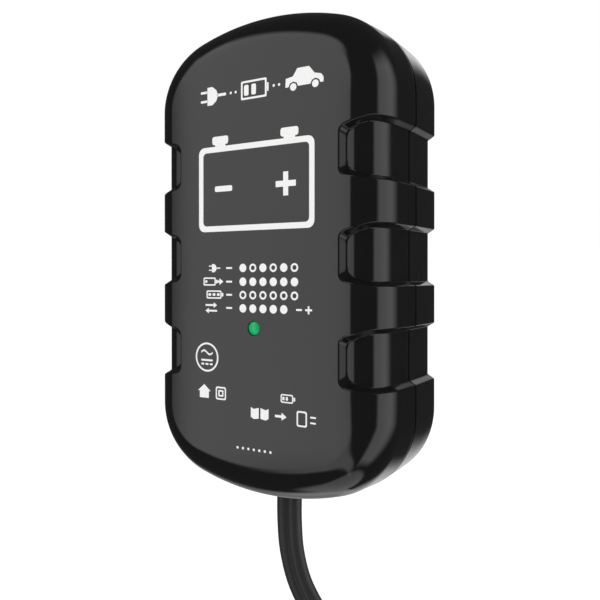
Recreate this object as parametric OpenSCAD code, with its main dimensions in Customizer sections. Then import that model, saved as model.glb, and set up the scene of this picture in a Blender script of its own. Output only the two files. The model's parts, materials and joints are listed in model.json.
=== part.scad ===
// Plug-in battery maintainer: a two-shell housing on outlet blades, its circuit,
// a flat twin lead wound into a coil, and two sprung battery clamps.
// Millimetres. +Z is up and +Y points into the wall. The origin lies midway between
// the two blades, on the rear face of the housing.

/* [Housing] */
// Height over the two crowned ends
body_h = 112; // [110:0.5:116]
// Width across the grip ribs
body_w = 63; // [62:0.5:68]
// Depth from the wall to the front face
body_d = 31; // [30.5:0.5:36]
// Depth of the rear shell, from the wall to the seam
rear_d = 13; // [12.5:0.25:14]
// Radius of the four outline corners
corner_r = 18.8; // [16.6:0.2:19.2]
// Radius of the crowned top and bottom
crown_r = 62.5; // [56:0.5:80]
// How far the front edge's round reaches in from the sides
round_side = 6.6; // [5:0.2:7.4]
// How far it reaches in from the crowned ends
round_crown = 8.3; // [6:0.1:9.6]
// How deep it reaches back from the front face
round_deep = 10; // [7:0.5:11]
// How much each side leans in from the seam towards the front and the back
draft = 0.4; // [0.1:0.1:0.5]
// Radius of the round at the rear edge
rear_r = 1.6; // [0.8:0.2:2.4]
// Plastic left behind the floor of a grip recess
wall = 2; // [1.8:0.1:2.4]

/* [Grip recesses] */
// Distance between neighbouring recesses
recess_pitch = 22; // [19:0.2:23]
// Number of recesses on each side
recess_count = 3; // [1:1:3]
// Height of a recess at the surface
recess_open = 13.25; // [12:0.25:15]
// Height of a recess at its floor
recess_floor = 11.2; // [9:0.2:11.4]
// Depth of a recess
recess_d = 1.5; // [1:0.1:2]
// How far a recess reaches over the front face, measured from the side
recess_reach = 10; // [9.2:0.2:10.6]
// Slope of the wall where a recess ends, as its run for each millimetre of depth
recess_end = 0.9; // [0.3:0.1:1]

/* [Outlet blades] */
// Width of a blade
blade_w = 6.35; // [6.2:0.05:6.6]
// Thickness of a blade
blade_t = 1.5; // [1.4:0.02:1.6]
// Length of a blade outside the housing
blade_l = 17; // [15.9:0.1:18.2]
// Distance between the blade centres
blade_pitch = 12.7; // [12.7:0.1:13]
// Height of the blades above the middle of the housing
blade_rise = 18; // [16:0.5:19]
// Diameter of the hole near a blade's tip
blade_hole_d = 3.2; // [2.8:0.1:3.4]
// Thickness of the insulating block inside
carrier_t = 3.2; // [2.6:0.1:3.4]

/* [Housing screws] */
// Shank diameter
screw_d = 2.9; // [2.5:0.1:3]
// Head diameter
screw_head_d = 5.2; // [4.8:0.1:5.4]
// Depth of the well that holds the head
screw_well = 6; // [4:0.25:7]
// Shank length
screw_l = 16; // [12:0.5:18]
// Distance of a screw from the side of the housing
screw_side = 11; // [10.5:0.25:11.5]
// Distance of a screw from the top or bottom of the housing
screw_end = 16; // [15:0.25:17]

/* [Circuit board] */
// Room between the board and the side walls
board_side = 1.65; // [1:0.05:3]
// Distance of the narrow ends of the board from the top and bottom of the housing
board_end = 12; // [11:0.5:14]
// Distance of the shoulders of the board from the top and bottom of the housing
board_shoulder = 24; // [23:0.5:26]
// Thickness of the board
board_t = 1.6; // [1.2:0.1:2]
// Gap between the rear shell's inner face and the board
board_lift = 4; // [3.9:0.05:4.2]
// Diameter of the lens in the front face
lens_d = 3; // [2.6:0.1:3.4]
// Distance of the lens below the middle
lens_drop = 16.1; // [15:0.1:17]
// Room between the tall parts on the board and the front shell
tall_gap = 2; // [1.5:0.1:5]

/* [Twin lead] */
// Width of the flat cord
cord_w = 6.7; // [6.2:0.1:7]
// Thickness of the flat cord
cord_t = 3.6; // [3.2:0.1:3.7]
// Diameter of a single lead
lead_d = 3.3; // [2.8:0.1:3.6]
// Centre-line radius of the coil's outer turn
coil_r = 44; // [42:0.5:46]
// Radial step of one turn
coil_step = 4.1; // [4.05:0.05:4.4]
// Step between the coil's two layers
coil_layer = 7.2; // [7.1:0.05:7.6]
// Full turns in the coil, less the open part at its top
coil_turns = 7; // [5:1:8]
// Width of the strap round the coil
tie_w = 6; // [4:0.5:9]

/* [Battery clamps] */
// Length of a jaw below the pivot
jaw_l = 35; // [33:0.5:38]
// Length of a handle above the pivot
handle_l = 41; // [38:0.5:46]
// Half width over the ends of the handles
handle_spread = 17; // [16.5:0.25:19]
// Thickness of a handle seen from the side
handle_t = 5.5; // [5:0.25:6]
// Width of a clamp's base half
clamp_w = 13.6; // [13.2:0.2:15]
// Thickness of the plastic walls
clamp_wall = 1.6; // [1.4:0.1:1.8]
// Diameter of the pivot pin
pin_d = 3; // [2.6:0.1:3.2]
// Radius of the hollow that takes a battery post
post_r = 6.2; // [5.6:0.1:6.6]
// Thickness of a copper jaw plate
plate_t = 1; // [0.8:0.1:1.2]
// Distance between the teeth of a jaw plate
tooth_pitch = 2.4; // [2:0.1:3]
// Wire diameter of the clamp spring
wire_d = 1.1; // [1:0.05:1.15]

/* [Hidden] */
$fn = 64;

housing_black = "#171717";
moulded_black = "#232323";
board_green = "#2f5b3a";
tinned = "#b9bcc0";
brass = "#c9a24a";
copper = "#b8693c";
can_black = "#2a2c38";
ferrite = "#3a3a3c";
tape_yellow = "#d9b53c";
clamp_red = "#b3201c";
clamp_black = "#1d1d1f";

// --- clearances and shared places -------------------------------------------------
fit = 0.05;               // a snug seat, on each side
slip = 0.15;              // a loose seat, on each side
apart = 0.3;              // between pieces that must not touch
shell_t = wall + recess_d;            // wall of the front shell between recesses
lip_t = 1.2;                          // thickness of the rear shell's locating lip
lip_h = 2;                            // height of the lip above the seam
rear_t = shell_t + slip + lip_t;      // wall of the rear shell
rear_floor = 2.5;                     // thickness of the rear shell's back
front_inner = body_d - shell_t;       // depth of the front shell's inner face
board_back = rear_floor + board_lift;
board_front = board_back + board_t;
tall = front_inner - board_front - tall_gap;   // height of the tall parts on the board
screw_x = body_w / 2 - screw_side;
screw_z = body_h / 2 - screw_end;
board_w = body_w - 2 * (rear_t + board_side);
board_h = body_h - 2 * board_shoulder;
board_end_h = body_h - 2 * board_end;
board_end_w = 2 * (screw_x - 5.5);

// The outline: straight sides, corner arcs and a crowned end, all tangent.
fan = asin((body_w / 2 - corner_r) / (crown_r - corner_r));
crown_z = body_h / 2 - crown_r;
straight_h = crown_z + (crown_r - corner_r) * cos(fan);

// The lead's exit: a notch in the front shell's rim, closed by the rear shell.
neck_w = 9.4;
neck_d = 6;
grip_y = -(rear_d + neck_d / 2);
grip_z = -body_h / 2 - blade_rise;
flange_w = 14;
flange_d = 7.3;
flange_h = 2.5;
flange_drop = body_h / 2 - shell_t - draft - 0.5;
grip_top = flange_drop - flange_h - 3.5;

// --- outline -------------------------------------------------------------------------
// A station is a point of the outline, its outward normal and its share of the recess
// depth: [x, z, normal x, normal z, share]. They run from the top over the left side.
first_recess = -(recess_count - 1) / 2;
corner_x = body_w / 2 - corner_r;

function turn(from, to, steps, centre, r) = [for (i = [0 : steps - 1])
    let (a = from + (to - from) * i / steps)
    [centre[0] + r * cos(a), centre[1] + r * sin(a), cos(a), sin(a), 0]];
function side_level(z, share) = [-body_w / 2, z, -1, 0, share];
function recess_levels(z) = [side_level(z + recess_open / 2, 0),
    side_level(z + recess_floor / 2, 1), side_level(z - recess_floor / 2, 1),
    side_level(z - recess_open / 2, 0)];

half_outline = concat(
    turn(90, 90 + fan, 4, [0, crown_z], crown_r),
    turn(90 + fan, 180, 10, [-corner_x, straight_h], corner_r),
    [side_level(straight_h, 0)],
    [for (i = [1 : recess_count]) each recess_levels((first_recess + recess_count - i) * recess_pitch)],
    turn(180, 270 - fan, 10, [-corner_x, -straight_h], corner_r),
    turn(270 - fan, 270, 4, [0, -crown_z], crown_r));
stations = concat(half_outline, [for (s = half_outline) [-s[0], -s[1], -s[2], -s[3], s[4]]]);

// A level is a way round the housing: [inset from the outline, y, extra inset at the
// crowned ends, a recess's inset there, a recess's step back there].
function shell_ring(level) = [for (s = stations)
    let (inset = level[0] + level[2] * s[3] * s[3] + level[3] * s[4])
    [s[0] - inset * s[2], level[1] + level[4] * s[4], s[1] - inset * s[3]]];

// A level on the front edge's round, by its angle.
function round_level(a) =
    let (out = unit([cos(a) / round_side, sin(a) / round_deep]), near = 1 - cos(a))
    [draft + round_side * near, -body_d + round_deep * (1 - sin(a)),
     (round_crown - round_side) * near, recess_d * out[0], recess_d * out[1]];

flat_extra = round_crown - round_side;
front_levels = concat(
    [[recess_reach, -body_d, flat_extra, 0, 0],
     [recess_reach - recess_end * recess_d, -body_d, flat_extra, 0, recess_d]],
    [for (a = [90 : -15 : 0]) round_level(a)],
    [[0, -rear_d, 0, recess_d, 0],
     [shell_t, -rear_d, 0, 0, 0],
     [shell_t + draft, -body_d + round_deep - 1, 0, 0, 0],
     [shell_t + 1.6, -front_inner + 1.3, 0, 0, 0],
     [shell_t + 5, -front_inner, 0, 0, 0]]);

rear_levels = [
    [rear_t + 1.3, -rear_floor, 0, 0, 0],
    [rear_t + 0.3, -rear_floor - 1, 0, 0, 0],
    [rear_t, -rear_d - lip_h, 0, 0, 0],
    [shell_t + slip, -rear_d - lip_h, 0, 0, 0],
    [shell_t + slip, -rear_d, 0, 0, 0],
    [0, -rear_d, 0, recess_d, 0],
    [draft, -rear_r, 0, recess_d, 0],
    [draft + rear_r * 0.3, -rear_r * 0.3, 0, recess_d, 0],
    [draft + rear_r, 0, 0, recess_d, 0],
    [rear_r + 3, 0, 0, 0, 0]];

// Lifts a piece from the middle of the housing to the part's origin.
module housed() {
    translate([0, 0, -blade_rise]) children();
}

// A cylinder along Y from y_from to y_to.
module along_y(r, y_from, y_to) {
    translate([0, y_to, 0]) rotate([90, 0, 0]) cylinder(r = r, h = y_to - y_from);
}

module at_screws() {
    for (x = [-1, 1], z = [-1, 1])
        translate([x * screw_x, 0, z * screw_z]) children();
}

// --- housing -----------------------------------------------------------------------
module shell(levels) { tube([for (level = levels) shell_ring(level)]); }

module front_housing() {
    pilot_end = screw_well + screw_l + 1;
    color(housing_black) housed() difference() {
        union() {
            shell(front_levels);
            at_screws() along_y(3.4, -front_inner - 0.5, -rear_d);
            translate([0, 0, -lens_drop]) along_y(4, -front_inner - 0.5, -front_inner + 2);
        }
        at_screws() along_y(screw_d / 2 + fit, -pilot_end, -rear_d + 1);
        translate([0, 0, -lens_drop]) {
            along_y(lens_d / 2 + fit, -body_d - 1, -front_inner);
            along_y(2.4 + fit, -front_inner, -front_inner + 3);
        }
        translate([-neck_w / 2 - fit, -rear_d - neck_d - fit, -body_h / 2 - 1])
            cube([neck_w + 2 * fit, neck_d + fit + 1, shell_t + 3]);
    }
}

module rear_housing() {
    post_x = 20;
    post_z = 27;
    color(housing_black) housed() difference() {
        union() {
            shell(rear_levels);
            at_screws() along_y(4.2, -rear_d, -rear_floor + 0.5);
            for (x = [-1, 1], z = [-1, 1])
                translate([x * post_x, 0, z * post_z]) along_y(2.2, -board_back, -rear_floor + 0.5);
        }
        at_screws() {
            along_y(screw_d / 2 + slip, -rear_d - 1, 1);
            along_y(screw_head_d / 2 + slip, -screw_well, 1);
        }
        for (x = [-1, 1])
            translate([x * blade_pitch / 2 - blade_t / 2 - fit, -rear_floor - 1,
                       blade_rise - blade_w / 2 - fit])
                cube([blade_t + 2 * fit, rear_floor + 2, blade_w + 2 * fit]);
        translate([-flange_w / 2 - apart, -rear_d - lip_h - 1, -body_h / 2])
            cube([flange_w + 2 * apart, lip_h + 1, 10]);
    }
}

module housing_screws() {
    head_h = 2.2;
    slot_w = 0.9;
    color(tinned) housed() at_screws() difference() {
        union() {
            along_y(screw_head_d / 2, -screw_well, -screw_well + head_h);
            along_y(screw_d / 2, -screw_well - screw_l, -screw_well);
        }
        for (turn = [0, 90]) rotate([0, turn, 0])
            translate([-slot_w / 2, -screw_well + 1, -1.6]) cube([slot_w, head_h, 3.2]);
    }
}

module light_pipe() {
    proud = 0.25;
    pipe_end = board_front + 8.9;
    color("#17a35a") housed() translate([0, 0, -lens_drop]) {
        along_y(lens_d / 2, -body_d - proud, -front_inner);
        along_y(2.4, -front_inner, -front_inner + 1.2);
        along_y(lens_d / 2 - 0.2, -front_inner + 1.2, -pipe_end);
    }
}

module status_led() {
    top = board_front + 8.5;
    color("#cfe8d6") housed() translate([0, 0, -lens_drop]) {
        along_y(1.5, -top, -board_front - 3);
        along_y(1.9, -board_front - 3, -board_front - 2);
        for (x = [-1.27, 1.27] / 2)
            translate([x - 0.25, -board_front - 2, -0.25]) cube([0.5, 2, 0.5]);
    }
}

// --- outlet blades -------------------------------------------------------------------
module blade(side) {
    hole_y = blade_l - 5;
    tip = 1.2;
    color(brass) translate([side * blade_pitch / 2, 0, 0]) difference() {
        union() {
            translate([-blade_t / 2, -board_back, -blade_w / 2])
                cube([blade_t, board_back + blade_l, blade_w]);
            translate([-blade_t / 2, -board_back, -blade_w / 2 - 1.2])
                cube([blade_t, board_lift - carrier_t, blade_w + 2.4]);
        }
        translate([0, hole_y, 0]) rotate([0, 90, 0])
            cylinder(d = blade_hole_d, h = blade_t + 2, center = true);
        for (end = [0, 1]) mirror([0, 0, end])
            translate([0, blade_l, blade_w / 2]) rotate([45, 0, 0])
                cube([blade_t + 2, tip * sqrt(2), tip * sqrt(2)], center = true);
    }
}

module blade_left() { blade(-1); }
module blade_right() { blade(1); }

module blade_carrier() {
    w = 28;
    h = 13;
    color(moulded_black) difference() {
        translate([-w / 2, -rear_floor - carrier_t, -h / 2]) cube([w, carrier_t, h]);
        for (x = [-1, 1])
            translate([x * blade_pitch / 2 - blade_t / 2 - fit, -rear_floor - carrier_t - 1,
                       -blade_w / 2 - fit])
                cube([blade_t + 2 * fit, carrier_t + 2, blade_w + 2 * fit]);
    }
}

// --- circuit -------------------------------------------------------------------------
// Sets a component on the board: its local Y runs from the board towards the front.
module on_board(x, z) {
    housed() translate([x, -board_front, z]) mirror([0, 1, 0]) children();
}

module circuit_board() {
    color(board_green) housed() {
        translate([-board_w / 2, -board_front, -board_h / 2]) cube([board_w, board_t, board_h]);
        translate([-board_end_w / 2, -board_front, -board_end_h / 2])
            cube([board_end_w, board_t, board_end_h]);
    }
}

module input_fuse() {
    tube_r = 2.4;
    cap_r = 2.7;
    length = 20;
    cap_l = 5;
    on_board(0, 38) translate([0, cap_r + fit, 0]) rotate([0, 90, 0]) {
        color("#dfe6e8") cylinder(r = tube_r, h = length - 2 * cap_l, center = true);
        for (side = [-1, 1]) color(tinned)
            translate([0, 0, side * (length - cap_l) / 2])
                cylinder(r = cap_r, h = cap_l, center = true);
    }
}

module input_capacitor() {
    size = [13, 12, 6];
    color(tape_yellow) on_board(-14, 27) translate([-size[0] / 2, 0, -size[2] / 2]) cube(size);
}

choke_r = 7;
choke_bore = 3.6;
choke_t = 5;
choke_wire = 1;
module choke_core() {
    color(ferrite) on_board(13, 24) translate([0, choke_r + fit, 0])
        rotate_extrude() translate([choke_bore, -choke_t / 2])
            square([choke_r - choke_bore, choke_t]);
}

module choke_winding() {
    gap = 0.1;
    thick = choke_wire + gap;
    color(copper) on_board(13, 24) translate([0, choke_r + fit, 0])
        for (side = [0, 180]) rotate([0, 0, side - 55]) rotate_extrude(angle = 110)
            difference() {
                translate([choke_bore - thick, -choke_t / 2 - thick])
                    square([choke_r - choke_bore + 2 * thick, choke_t + 2 * thick]);
                translate([choke_bore - gap, -choke_t / 2 - gap])
                    square([choke_r - choke_bore + 2 * gap, choke_t + 2 * gap]);
            }
}

module bridge_rectifier() {
    size = [14, 9, 3.5];
    lead = 0.7;
    color(moulded_black) on_board(-13, 15) {
        translate([-size[0] / 2, 1.5, -size[2] / 2]) cube(size);
        for (i = [0 : 3]) translate([-5.7 + 3.8 * i - lead / 2, 0, -lead / 2])
            cube([lead, 1.5, lead]);
    }
}

// A can capacitor with its crimped groove.
module can(r, h) {
    groove = 0.5;
    rotate([-90, 0, 0]) {
        cylinder(r = r, h = 2);
        translate([0, 0, 2]) cylinder(r = r - groove, h = 1);
        translate([0, 0, 3]) cylinder(r = r, h = h - 3);
    }
}

module bulk_capacitor() { color(can_black) on_board(-15, 3) can(6.2, tall - 1); }
module output_capacitor() { color(can_black) on_board(12, -25) can(5, tall - 2.5); }

core_w = 22;
core_h = 14;
core_t = 8;
core_leg = 3;
core_window = 5;
core_yoke = 3;
core_lift = 2;
bobbin_t = 0.8;
bobbin_z = 8.5;
module at_transformer() { on_board(9, 4) children(); }

module core_windows() {
    for (side = [-1, 1])
        translate([side * (core_leg + core_window / 2), core_lift + core_h / 2, 0])
            cube([core_window, core_h - 2 * core_yoke, core_t + 2], center = true);
}

module transformer_core() {
    color(ferrite) at_transformer() difference() {
        translate([-core_w / 2, core_lift, -core_t / 2]) cube([core_w, core_h, core_t]);
        core_windows();
    }
}

// A rectangular ring round the centre leg, from y0 to y1.
module leg_ring(grow_in, grow_out_x, grow_out_z, y0, y1) {
    difference() {
        translate([-grow_out_x, y0, -grow_out_z]) cube([2 * grow_out_x, y1 - y0, 2 * grow_out_z]);
        translate([-core_leg - grow_in, y0 - 1, -core_t / 2 - grow_in])
            cube([2 * (core_leg + grow_in), y1 - y0 + 2, core_t + 2 * grow_in]);
    }
}

bobbin_low = core_lift + core_yoke + fit;
bobbin_high = core_lift + core_h - core_yoke - fit;
module transformer_bobbin() {
    flange_x = core_leg + core_window - 0.15;
    color(moulded_black) at_transformer() {
        leg_ring(fit, core_leg + bobbin_t, core_t / 2 + bobbin_t, bobbin_low, bobbin_high);
        leg_ring(fit, flange_x, bobbin_z, bobbin_low, bobbin_low + bobbin_t);
        leg_ring(fit, flange_x, bobbin_z, bobbin_high - bobbin_t, bobbin_high);
        for (side = [-1, 1])
            translate([-flange_x, 0, side * (bobbin_z - 1) - 1])
                cube([2 * flange_x, bobbin_low + bobbin_t, 2]);
    }
}

module transformer_winding() {
    winding_x = core_leg + core_window - 0.8;
    color(tape_yellow) at_transformer()
        leg_ring(bobbin_t + fit, winding_x, bobbin_z - 0.8, bobbin_low + bobbin_t + fit,
                 bobbin_high - bobbin_t - fit);
}

module power_package(tab) {
    body = [10, 9, 4.4];
    translate([-body[0] / 2, 2, 0]) cube(body);
    for (x = [-2.54, 0, 2.54]) translate([x - 0.4, 0, 1.8]) cube([0.8, 2, 0.6]);
    if (tab) translate([-body[0] / 2, body[1] + 2, 0]) difference() {
        cube([body[0], 4, 1.3]);
        translate([body[0] / 2, 2, -1]) cylinder(r = 1.2, h = 4);
    }
}

sink_z = -13;
sink_t = 1.6;
module switching_transistor() {
    color(moulded_black) on_board(-14, sink_z) power_package(true);
}

module heat_sink() {
    w = 17;
    h = tall;
    fin = 3;
    color(tinned) on_board(-14, sink_z) {
        translate([-w / 2, 0, -sink_t]) cube([w, h, sink_t]);
        for (i = [0 : 3]) translate([-w / 2 + i * (w - 1) / 3, 0, -sink_t - fin])
            cube([1, h, fin]);
    }
}

module output_diode() { color(moulded_black) on_board(12, -17) power_package(true); }

module safety_capacitor() {
    color("#3a6ea5") on_board(13, -9) translate([0, 4 + fit, 0])
        cylinder(r = 4, h = 3, center = true);
}

// A small flat package with legs on two sides.
module small_package(size, legs, pitch) {
    translate([-size[0] / 2, 0.3, -size[2] / 2]) cube(size);
    for (i = [0 : legs - 1], side = [-1, 1])
        translate([(i - (legs - 1) / 2) * pitch - 0.25, 0,
                   side * (size[2] / 2 + 0.5) - 0.5]) cube([0.5, 1.1, 1]);
}

module optocoupler() {
    color("#e8e8e4") on_board(-13, -24) small_package([4.6, 3.5, 6.4], 2, 2.54);
}

module control_chip() {
    color(moulded_black) on_board(-3, -26) small_package([5, 1.6, 3.9], 4, 1.27);
}

// --- lead grip and inner wires ---------------------------------------------------------
module cord_grip() {
    color(moulded_black) housed() translate([0, grip_y, 0]) {
        translate([-neck_w / 2, -neck_d / 2, -body_h / 2])
            cube([neck_w, neck_d - fit, body_h / 2 - flange_drop + 0.1]);
        translate([-flange_w / 2, -flange_d + neck_d / 2 - 0.2, -flange_drop])
            cube([flange_w, flange_d, flange_h]);
        translate([-4, -2.5, -flange_drop + flange_h]) cube([8, 5, 3.5]);
    }
}

module output_wires() {
    r = 0.9;
    bend = 2.5;
    color(clamp_black) housed()
        for (x = [-1.7, 1.7]) translate([x, grip_y, -grip_top]) {
            cylinder(r = r, h = 1.5);
            translate([0, bend, 1.5]) rotate([0, 90, 0]) rotate([0, 0, 180])
                rotate_extrude(angle = -90) translate([bend, 0]) circle(r);
            translate([0, 0, 1.5 + bend]) along_y(r, bend, -grip_y - board_front);
        }
}

// --- swept tubes -----------------------------------------------------------------------
function unit(v) = v / norm(v);
function ease(s) = s <= 0 ? 0 : s >= 1 ? 1 : s * s * (3 - 2 * s);

// Eight points round a flat cord, and six for its coil.
function flat8(w, t) = [[w / 2, -t / 5], [w / 2, t / 5], [w / 2 - t / 3, t / 2],
    [t / 3 - w / 2, t / 2], [-w / 2, t / 5], [-w / 2, -t / 5], [t / 3 - w / 2, -t / 2],
    [w / 2 - t / 3, -t / 2]];
function flat6(w, t) = [[w / 2, 0], [w / 4, t / 2], [-w / 4, t / 2],
    [-w / 2, 0], [-w / 4, -t / 2], [w / 4, -t / 2]];
function round_section(n, d) =
    [for (i = [0 : n - 1]) d / 2 * [cos(360 * i / n), sin(360 * i / n)]];

// A ring of the tube: along is its direction, turn the angle of the wide side from X to Y.
function ring(p, along, turn, section) =
    let (b = unit([0, 1, 0] - along * along[1]), a = cross(along, b),
         wide = a * cos(turn) + b * sin(turn), thin = b * cos(turn) - a * sin(turn))
    [for (q = section) p + wide * q[0] + thin * q[1]];

// Directions along a path; the two end directions can be given.
function directions(path, first, last) = [for (i = [0 : len(path) - 1])
    i == 0 ? unit(first) : i == len(path) - 1 ? unit(last) : unit(path[i + 1] - path[i - 1])];

module tube(rings) {
    n = len(rings[0]);
    last = len(rings) - 1;
    points = [for (r = rings) for (p = r) p];
    sides = [for (i = [0 : last - 1], j = [0 : n - 1])
        let (k = (j + 1) % n, a = i * n + j, b = i * n + k)
        each [[a, b, a + n], [b, b + n, a + n]]];
    caps = [for (j = [1 : n - 2]) each [[0, j + 1, j], [last * n, last * n + j, last * n + j + 1]]];
    polyhedron(points, concat(sides, caps), convexity = 6);
}

module swept(path, first, last, turn_from, turn_to, section) {
    along = directions(path, first, last);
    top = len(path) - 1;
    tube([for (i = [0 : top])
        ring(path[i], along[i], turn_from + (turn_to - turn_from) * ease(i / top), section)]);
}

// --- coil ------------------------------------------------------------------------------
coil_x = -2.5;
coil_z = grip_z - 80;
coil_rear = grip_y + 3.6;                // y of the rear layer
coil_from = 45;                          // angle at which the cord joins
coil_to = 120;                           // angle at which it leaves
coil_sweep = 360 * coil_turns - (coil_to - coil_from);
coil_rings = 24;                         // rings in a turn
coil_last = coil_sweep * coil_rings / 360;
coil_total = coil_sweep / 360;

function coil_point(i) =
    let (turn = i / coil_rings, a = coil_from - 360 * turn,
         r = coil_r - coil_step * min(turn, coil_total - turn),
         climb = min(1, max(0, (turn - coil_total / 2 + 0.25) / 0.5)))
    [coil_x + r * cos(a), coil_rear - coil_layer * climb, coil_z + r * sin(a)];
function coil_heading(a) = [sin(a), 0, -cos(a)];
coil_in = coil_point(0) - cord_w * coil_heading(coil_from);
coil_out = coil_point(coil_last) + cord_w * coil_heading(coil_to);
coil_path = concat([coil_in], [for (i = [0 : coil_last]) coil_point(i)], [coil_out]);
coil_along = directions(coil_path, coil_heading(coil_from), coil_heading(coil_to));
coil_tube = [for (i = [0 : len(coil_path) - 1])
    ring(coil_path[i], coil_along[i], -90, flat6(cord_w, cord_t))];

// Least distance between the faces of neighbouring turns and of the two layers,
// measured between ring points of the tube a turn or more apart.
function closest(i) = min([for (k = [coil_rings - 1 : coil_rings * 2 + 1])
    if (i + k < len(coil_tube)) for (p = coil_tube[i]) for (q = coil_tube[i + k]) norm(p - q)]);
coil_gap = min([for (i = [1 : 4 : len(coil_tube) - coil_rings - 2]) closest(i)]);
coil_length = 2 * PI * (coil_r - coil_step * coil_total / 4) * coil_total;
echo(coil_gap = coil_gap, coil_length = coil_length);

// Routes of the free stretches, chosen by hand.
sleeve_at = [5.2, grip_y - 14.5, coil_z + 30];
sleeve_l = 15;
function from(start, steps) = [for (s = steps) start + s];
lead_route = concat(from([0, grip_y, grip_z], [[0, 0, 0], [0, 0, -7], [0.7, 0, -14.5],
    [3, 0.2, -22], [7.2, 0.8, -28.6], [12.2, 1.8, -34], [17.6, 2.8, -38.8]]), [coil_in]);
tail_route = concat([coil_out], from(sleeve_at, [[-20.6, 10.1, 13.2], [-16.4, 8.6, 14.8],
    [-11.1, 6.5, 14.8], [-6, 4, 12.6], [-1.9, 1.9, 8.2], [-0.2, 0.5, 3.6], [0, 0, 0]]));

module cord_lead() {
    color(moulded_black)
        swept(lead_route, [0, 0, -1], coil_heading(coil_from), -12, -90, flat8(cord_w, cord_t));
}

module cord_coil() { color(moulded_black) tube(coil_tube); }

module cord_tail() {
    color(moulded_black)
        swept(tail_route, coil_heading(coil_to), [0, 0, -1], -90, 0, flat8(cord_w, cord_t));
}

// The strap goes round both layers on the coil's left side.
module coil_tie() {
    strap = 1;
    loose = 0.5;
    inner = coil_r - coil_step * (coil_total / 2) - cord_t / 2 - loose;
    outer = coil_r + cord_t / 2 + loose;
    half = (coil_layer + cord_w) / 2 + loose;
    color("#101012") translate([coil_x, coil_rear - coil_layer / 2, coil_z]) difference() {
        union() {
            translate([-outer - strap, -half - strap, -tie_w / 2])
                cube([outer - inner + 2 * strap, 2 * (half + strap), tie_w]);
            translate([-outer - strap - 2, -3.5, -tie_w / 2 - 0.8]) cube([3, 7, tie_w + 1.6]);
        }
        translate([-outer, -half, -tie_w]) cube([outer - inner, 2 * half, 2 * tie_w]);
    }
}

// --- split ---------------------------------------------------------------------------------
lead_gap = 1.95;                          // half the distance between the single leads
lead_start = sleeve_at[2] - sleeve_l;
module split_sleeve() {
    w = cord_w + 2.6;
    t = cord_t + 2.4;
    color(moulded_black) translate([sleeve_at[0], sleeve_at[1], lead_start]) {
        for (side = [-1, 1]) translate([side * (w - t) / 2, 0, 0]) cylinder(d = t, h = sleeve_l);
        translate([(t - w) / 2, -t / 2, 0]) cube([w - t, t, sleeve_l]);
    }
}

// --- clamps --------------------------------------------------------------------------------
clamp_y = grip_y - 15.5;
clamp_z = coil_z - 72;
red_x = -14;
black_x = 24;
collar_l = 5;
collar_r = 3;
ear_r = 4.4;
handle_x = handle_spread - handle_t / 2;          // where the lead enters
lever_w = clamp_w - 2 * (clamp_wall + apart);      // the lever half fits inside the base half
shoulder = 11;
waist = 10.4;
tip_w = 4.6;
jaw_face = 0.15;                                  // each tooth stops this far from the middle
post_z = -12.5;

// Outer edge of the right half, from the tip to the handle's end.
outer_edge = [[tip_w, -jaw_l], [8.4, -jaw_l + 10], [shoulder, -11], [waist, -2],
              [shoulder + 0.6, 8], [handle_spread, handle_l]];
inner_edge = [[handle_spread - handle_t, handle_l + 0.6], [6, 8], [3, 1], [1.8, -4],
              [plate_t + 0.9, post_z - post_r - 1], [plate_t + 0.9, -jaw_l]];

module slab(width) {
    rotate([90, 0, 0]) linear_extrude(width, center = true) children();
}

// One plastic half, right of the middle: a channel with two ears for the pin.
module clamp_half(width, bore) {
    inside = width - 2 * clamp_wall;
    web = 1.7;
    difference() {
        union() {
            slab(width) difference() {
                polygon(concat(outer_edge, inner_edge));
                translate([0, post_z]) circle(post_r + plate_t + fit);
            }
            slab(width) circle(ear_r);
        }
        slab(inside) polygon(concat(
            [[-ear_r - 1, -jaw_l + web]],
            [for (p = outer_edge) [p[0] - web, max(-jaw_l + web, min(handle_l - web, p[1]))]],
            [[-ear_r - 1, handle_l - web]]));
        rotate([90, 0, 0]) cylinder(r = bore, h = width + 2, center = true);
    }
}

module clamp_base() {
    clamp_half(clamp_w, pin_d / 2 + 0.02);
    translate([handle_x, 0, handle_l - 1]) cylinder(r = collar_r, h = collar_l + 1);
}

module clamp_lever() { clamp_half(lever_w, pin_d / 2 + 0.06); }

// A copper plate: teeth on the flat of the jaw and an arc round the battery post.
module jaw_plate(width) {
    teeth_top = post_z - post_r - 0.2;
    teeth_from = -jaw_l + 0.6;
    count = floor((teeth_top - teeth_from) / tooth_pitch);
    depth = 0.7;
    back = plate_t + 0.85;
    color(copper) {
        slab(width) polygon(concat([[back, teeth_from]],
            [for (i = [0 : count - 1]) each [
                [jaw_face + depth, teeth_from + i * tooth_pitch],
                [jaw_face, teeth_from + (i + 0.5) * tooth_pitch]]],
            [[jaw_face + depth, teeth_from + count * tooth_pitch],
             [jaw_face + depth, teeth_top + 0.7], [back, teeth_top + 0.7]]));
        slab(width) intersection() {
            translate([0, post_z]) difference() {
                circle(post_r + plate_t);
                circle(post_r);
            }
            translate([jaw_face + depth, post_z - post_r - 2])
                square([2 * post_r, 2 * post_r - 1]);
        }
    }
}

module pivot_pin() {
    head_r = pin_d / 2 + 1;
    color(tinned) rotate([90, 0, 0]) {
        cylinder(d = pin_d, h = clamp_w + 0.6, center = true);
        for (side = [-1, 1]) translate([0, 0, side * (clamp_w / 2 + 0.55)])
            cylinder(r = head_r, h = 1, center = true);
    }
}

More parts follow.
